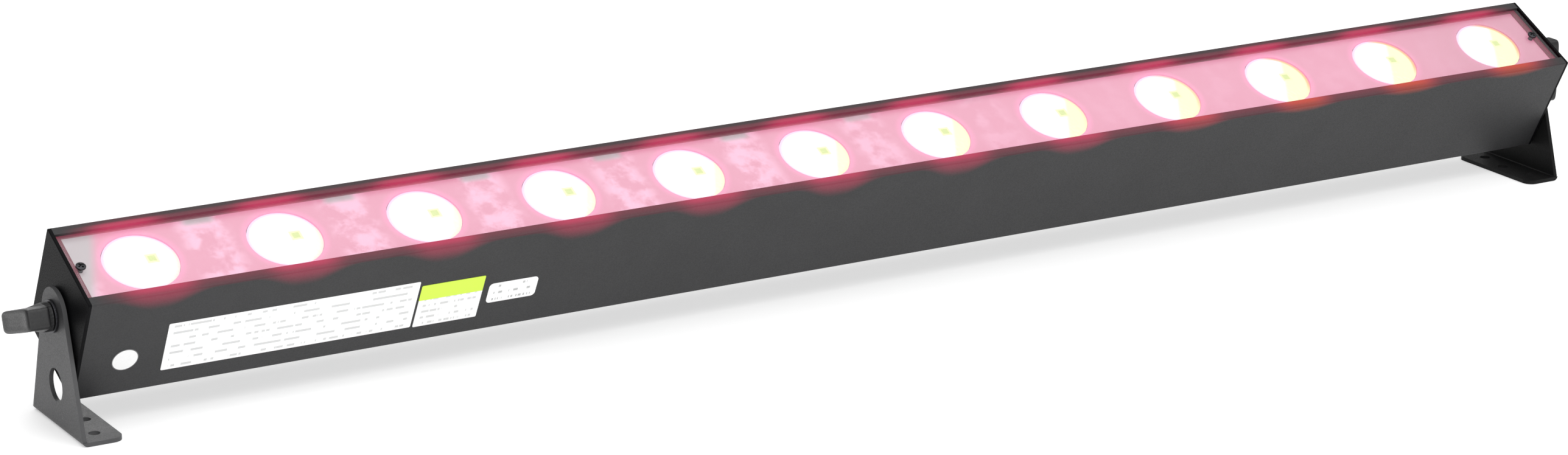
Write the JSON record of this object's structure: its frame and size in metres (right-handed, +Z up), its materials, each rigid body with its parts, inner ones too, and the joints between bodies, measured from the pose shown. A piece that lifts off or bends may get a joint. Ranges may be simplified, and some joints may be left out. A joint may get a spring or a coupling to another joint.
{
  "type": "led strip batten",
  "caption": "Long channel housing with a row of round lenses under a clear cover, tilting between two L-shaped floor brackets with T-knobs.",
  "frame": {"origin": "on the floor, below the tilt axis, half way along", "axes": "+X along the batten, +Y to the back with the sockets, +Z up; the lenses lean 27 degrees towards -Y at rest"},
  "size_m": [1.0494, 0.0857, 0.1075],
  "materials": {
    "black_powder_coat": "fine textured satin black powder coat",
    "zinc_steel": "zinc plated",
    "black_steel": "black oxide",
    "bright_screw": "bright plated",
    "clear_cover": "clear, polished",
    "gasket_rubber": "matt silicone",
    "bumper_rubber": "matt",
    "reflector_plastic": "satin light grey",
    "lens_plastic": "clear moulded",
    "led_emitter": "phosphor under a clear dome",
    "led_board_white": "white solder mask on aluminium",
    "bare_aluminium": "mill finish",
    "brass": "turned",
    "circuit_board": "green solder mask",
    "component_black": "moulded",
    "display_window": "dark tinted, polished",
    "black_plastic": "moulded, slightly glossy",
    "nylon": "black nylon",
    "label_white": "printed polyester film, no lettering",
    "sticker_grey": "paper sticker"
  },
  "bodies": {
    "housing": {"board_screws": "bright_screw", "board_standoffs": "brass", "button_switches": "component_black", "capacitors": "component_black", "clear_cover": "clear_cover", "control_board": "circuit_board", "cover_gasket": "gasket_rubber", "cover_screws": "bright_screw", "data_in_socket": "black_plastic", "data_out_socket": "black_plastic", "display_module": "component_black", "display_window": "display_window", "driver_board": "circuit_board", "driver_chips": "component_black", "fuse_holder": "black_plastic", "heat_spreader": "bare_aluminium", "housing_channel": "black_powder_coat", "housing_screws": "black_steel", "led_board": "led_board_white", "led_emitters": "led_emitter", "left_end_plate": "black_powder_coat", "lens_01": "lens_plastic", "lens_02": "lens_plastic", "lens_03": "lens_plastic", "lens_04": "lens_plastic", "lens_05": "lens_plastic", "lens_06": "lens_plastic", "lens_07": "lens_plastic", "lens_08": "lens_plastic", "lens_09": "lens_plastic", "lens_10": "lens_plastic", "lens_11": "lens_plastic", "lens_12": "lens_plastic", "notice_label": "label_white", "pivot_nuts": "zinc_steel", "power_inlet": "black_plastic", "power_outlet": "black_plastic", "power_supply_board": "circuit_board", "rating_label": "label_white", "reflector_pillars": "brass", "reflector_plate": "reflector_plastic", "right_end_plate": "black_powder_coat", "round_sticker": "sticker_grey", "rubber_bumpers": "bumper_rubber", "small_label": "label_white", "transformer": "component_black"},
    "left_bracket": {"left_bracket": "black_powder_coat", "left_friction_disc": "nylon"},
    "right_bracket": {"right_bracket": "black_powder_coat", "right_friction_disc": "nylon"},
    "left_washer": {"left_washer": "black_steel"},
    "right_washer": {"right_washer": "black_steel"},
    "left_knob": {"left_knob": "black_plastic", "left_knob_stud": "zinc_steel"},
    "right_knob": {"right_knob": "black_plastic", "right_knob_stud": "zinc_steel"},
    "menu_button": {"menu_button": "black_plastic"},
    "down_button": {"down_button": "black_plastic"},
    "up_button": {"up_button": "black_plastic"},
    "enter_button": {"enter_button": "black_plastic"}
  },
  "joints": [
    {"name": "left_tilt", "type": "hinge", "parent": "housing", "child": "left_bracket", "pos_m": [-0.5, 0, 0.063], "axis": [1, 0, 0], "range_deg": [-63, 117]},
    {"name": "left_knob_travel", "type": "slide", "parent": "housing", "child": "left_washer", "axis": [-1, 0, 0], "range_m": [0, 0.00187]},
    {"name": "left_knob_turn", "type": "hinge", "parent": "left_washer", "child": "left_knob", "pos_m": [-0.5, 0, 0.063], "axis": [-1, 0, 0], "range_deg": [0, 540]},
    {"name": "right_tilt", "type": "hinge", "parent": "housing", "child": "right_bracket", "pos_m": [0.5, 0, 0.063], "axis": [1, 0, 0], "range_deg": [-63, 117]},
    {"name": "right_knob_travel", "type": "slide", "parent": "housing", "child": "right_washer", "axis": [1, 0, 0], "range_m": [0, 0.00187]},
    {"name": "right_knob_turn", "type": "hinge", "parent": "right_washer", "child": "right_knob", "pos_m": [0.5, 0, 0.063], "axis": [1, 0, 0], "range_deg": [0, 540]},
    {"name": "menu_button_press", "type": "slide", "parent": "housing", "child": "menu_button", "axis": [0, -0.891, -0.454], "range_m": [0, 0.001], "stiffness_N_per_m": 600, "springref_m": -0.0008},
    {"name": "down_button_press", "type": "slide", "parent": "housing", "child": "down_button", "axis": [0, -0.891, -0.454], "range_m": [0, 0.001], "stiffness_N_per_m": 600, "springref_m": -0.0008},
    {"name": "up_button_press", "type": "slide", "parent": "housing", "child": "up_button", "axis": [0, -0.891, -0.454], "range_m": [0, 0.001], "stiffness_N_per_m": 600, "springref_m": -0.0008},
    {"name": "enter_button_press", "type": "slide", "parent": "housing", "child": "enter_button", "axis": [0, -0.891, -0.454], "range_m": [0, 0.001], "stiffness_N_per_m": 600, "springref_m": -0.0008}
  ],
  "couplings": [
    {"joint": "left_knob_turn", "follows": "left_knob_travel", "rad_per_m": 5026.5},
    {"joint": "right_knob_turn", "follows": "right_knob_travel", "rad_per_m": 5026.5}
  ]
}
